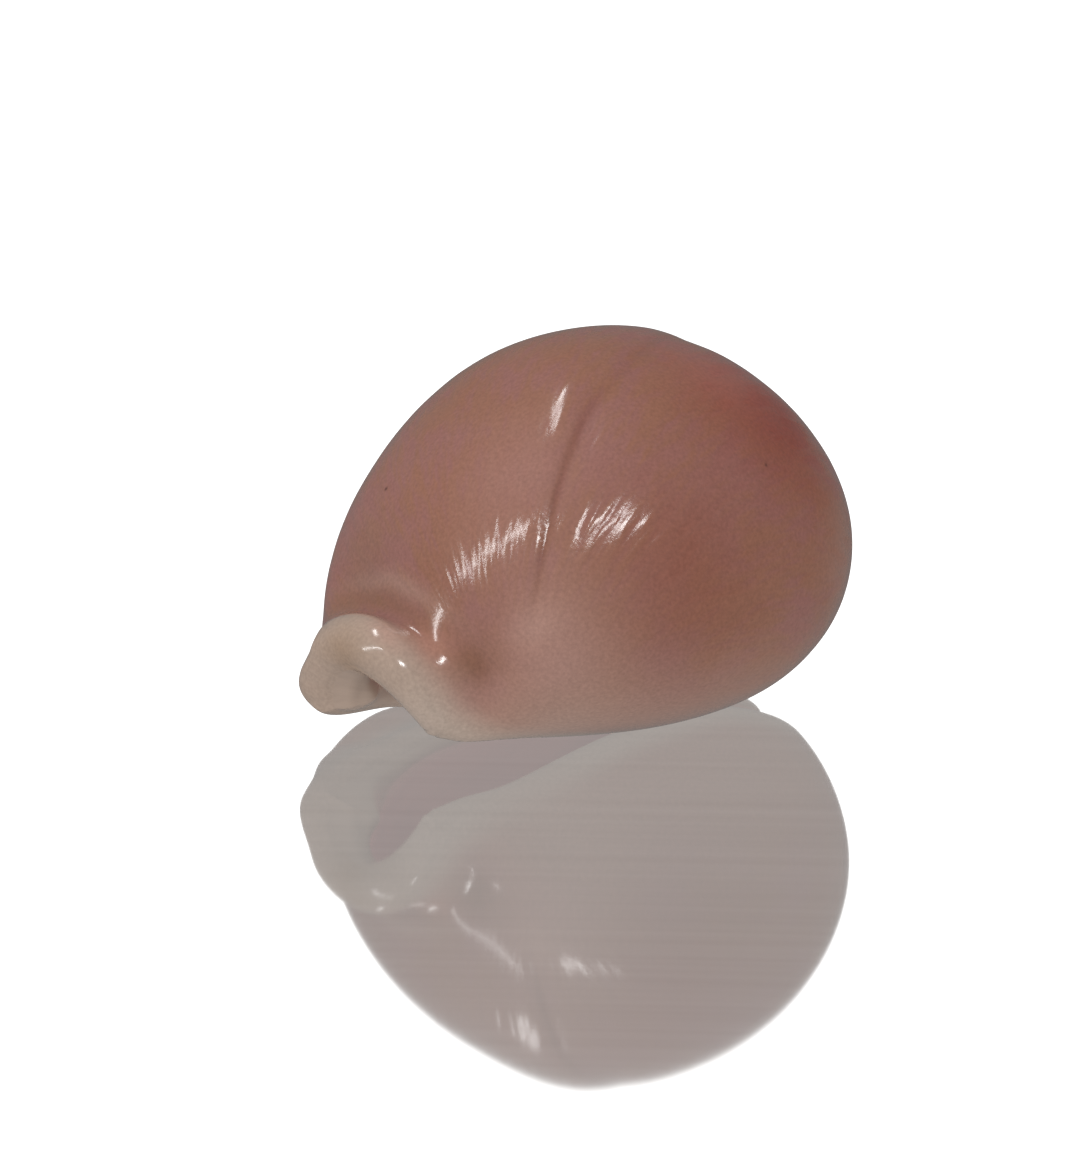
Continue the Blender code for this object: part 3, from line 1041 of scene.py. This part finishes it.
def back_colour(tree, at, spots, lines, line):
    """Mauve and brown, clouds, margin, cream and the scar, with painted shade and painted light
    among them.
    """
    warmth = maths(tree, "MULTIPLY", lines["shade"], THREAD_WARMTH)
    warm = smooth(tree, maths(tree, "ADD", spots["clouds"], warmth), *BROWNER)
    base = clouded(tree, at, blend(tree, warm, MAUVE, BROWN), CLOUDS)
    sideways = maths(tree, "ABSOLUTE", at["around"])
    # the margin low down: partly paler base, partly painted light from below
    base = blend(tree, smooth(tree, sideways, *MARGIN_FROM), base, PALE_BASE_AND_UNDERLIGHT)
    cream_ends = remap(tree, at["around"], *CREAM_TURNS, *CREAM_ENDS)
    base = blend(tree, smooth(tree, at["along"], cream_ends, CREAM_FULL), base, CREAM)
    lip = blend(tree, smooth(tree, at["around"], *PALER_LIP), LIP_CREAM, NEAR_LIP_CREAM)
    base = blend(tree, smooth(tree, at["rim"], *LIP_EDGE), base, lip)
    base = clouded(tree, at, base, PALE_CLOUDS)
    # the scar's line: its brown, partly painted shade of the groove
    return blend(tree, maths(tree, "MULTIPLY", line, SCAR_BROWN_AND_SHADE_SHARE), base, SCAR_BROWN_AND_SHADE)


def back_height(tree, at, spots, lines, line):
    """Threads and specks, with the calm beside the scar and the scar's own cut."""
    specks = maths(tree, "MULTIPLY", spots["specks"], SPECK_RISE)
    height = maths(tree, "ADD", lines["height"], specks)
    height = maths(tree, "MULTIPLY", height, smooth(tree, at["along"], *RIPPLES_FROM))
    calm = place(tree, cloud, along=at["along"], around=at["around"], **CALM)["mask"]
    height = maths(tree, "MULTIPLY", height, maths(tree, "SUBTRACT", 1.0, calm))
    return maths(tree, "SUBTRACT", height, maths(tree, "MULTIPLY", line, SCAR_CUT))


def glazed_back():
    """The material of the outside."""
    material, tree, shader, at, spots, lines = new_glaze("glazed_back", 0.02, 0.15)
    line = place(tree, cut, along=at["along"], off=at["scar"])["mask"]
    fine = maths(
        tree,
        "MULTIPLY",
        varied(tree, lines["shade"], THREAD_SHADE, 1.0),
        varied(tree, spots["specks"], SPECK_SHADE, 1.0 - SPECK_SHADE / 2),
    )
    paint(tree, shader, back_colour(tree, at, spots, lines, line), fine)
    ripple(tree, shader, back_height(tree, at, spots, lines, line), RIPPLE)
    for label, values in (("Specular IOR Level", SPECULAR), ("Coat Weight", COAT)):
        tree.links.new(remap(tree, lines["dull"], 0.0, 1.0, *values), shader[label])
    return material


mesh.materials.append(glazed_back())
print("outside:", mesh.materials[0].name)

# %% [markdown]
# The inside is not glazed so thickly. It is cream at the lips and turns purple further in.
# The wall is given a faint glow, painted light that keeps the hollow from going dark.

# %% Material: inner wall
PURPLE, WARM_PURPLE = colour(140, 98, 100), colour(154, 108, 106)
DEPTH_ALONG = 6.0  # mm that the whole way from the front rim to the back adds to the depth
PURPLE_FROM, GLOW_FROM = (3.6, 7.5), (0.2, 3.0)  # depth
PAINTED_GLOW_DEEP = 0.45  # how strongly the wall glows deep in: painted light
PAINTED_GLOW_AT_MOUTH = 0.18  # and how strongly it glows round the mouth: painted light too
INNER_SHADE = 0.24  # how far the threads lighten and darken it
INNER_RIPPLE = 0.00003
INNER_COAT = 0.3


def inner_wall():
    """The material of the inside."""
    material, tree, shader, at, spots, lines = new_glaze("inner_wall", 0.03, 0.22)
    warm = smooth(tree, spots["clouds"], *BROWNER)
    depth = maths(tree, "ADD", at["rim"], maths(tree, "MULTIPLY", at["along"], DEPTH_ALONG))
    within = smooth(tree, depth, *PURPLE_FROM)
    base = blend(tree, within, LIP_CREAM, blend(tree, warm, PURPLE, WARM_PURPLE))
    # painted light: the wall glows, from nothing at the rim, a little round the mouth and more
    # further in
    at_mouth = maths(tree, "MULTIPLY", smooth(tree, depth, *GLOW_FROM), PAINTED_GLOW_AT_MOUTH)
    further_in = maths(tree, "MULTIPLY", within, PAINTED_GLOW_DEEP - PAINTED_GLOW_AT_MOUTH)
    through = maths(tree, "ADD", at_mouth, further_in)
    tree.links.new(base, shader["Emission Color"])
    tree.links.new(through, shader["Emission Strength"])
    paint(tree, shader, base, varied(tree, lines["shade"], INNER_SHADE, 1.0))
    ripple(tree, shader, lines["height"], INNER_RIPPLE)
    shader["Coat Weight"].default_value = INNER_COAT
    return material


mesh.materials.append(inner_wall())
print("inside:", mesh.materials[1].name)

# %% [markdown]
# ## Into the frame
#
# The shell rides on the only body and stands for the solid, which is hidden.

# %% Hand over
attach(cowrie, "root")
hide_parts("shell")
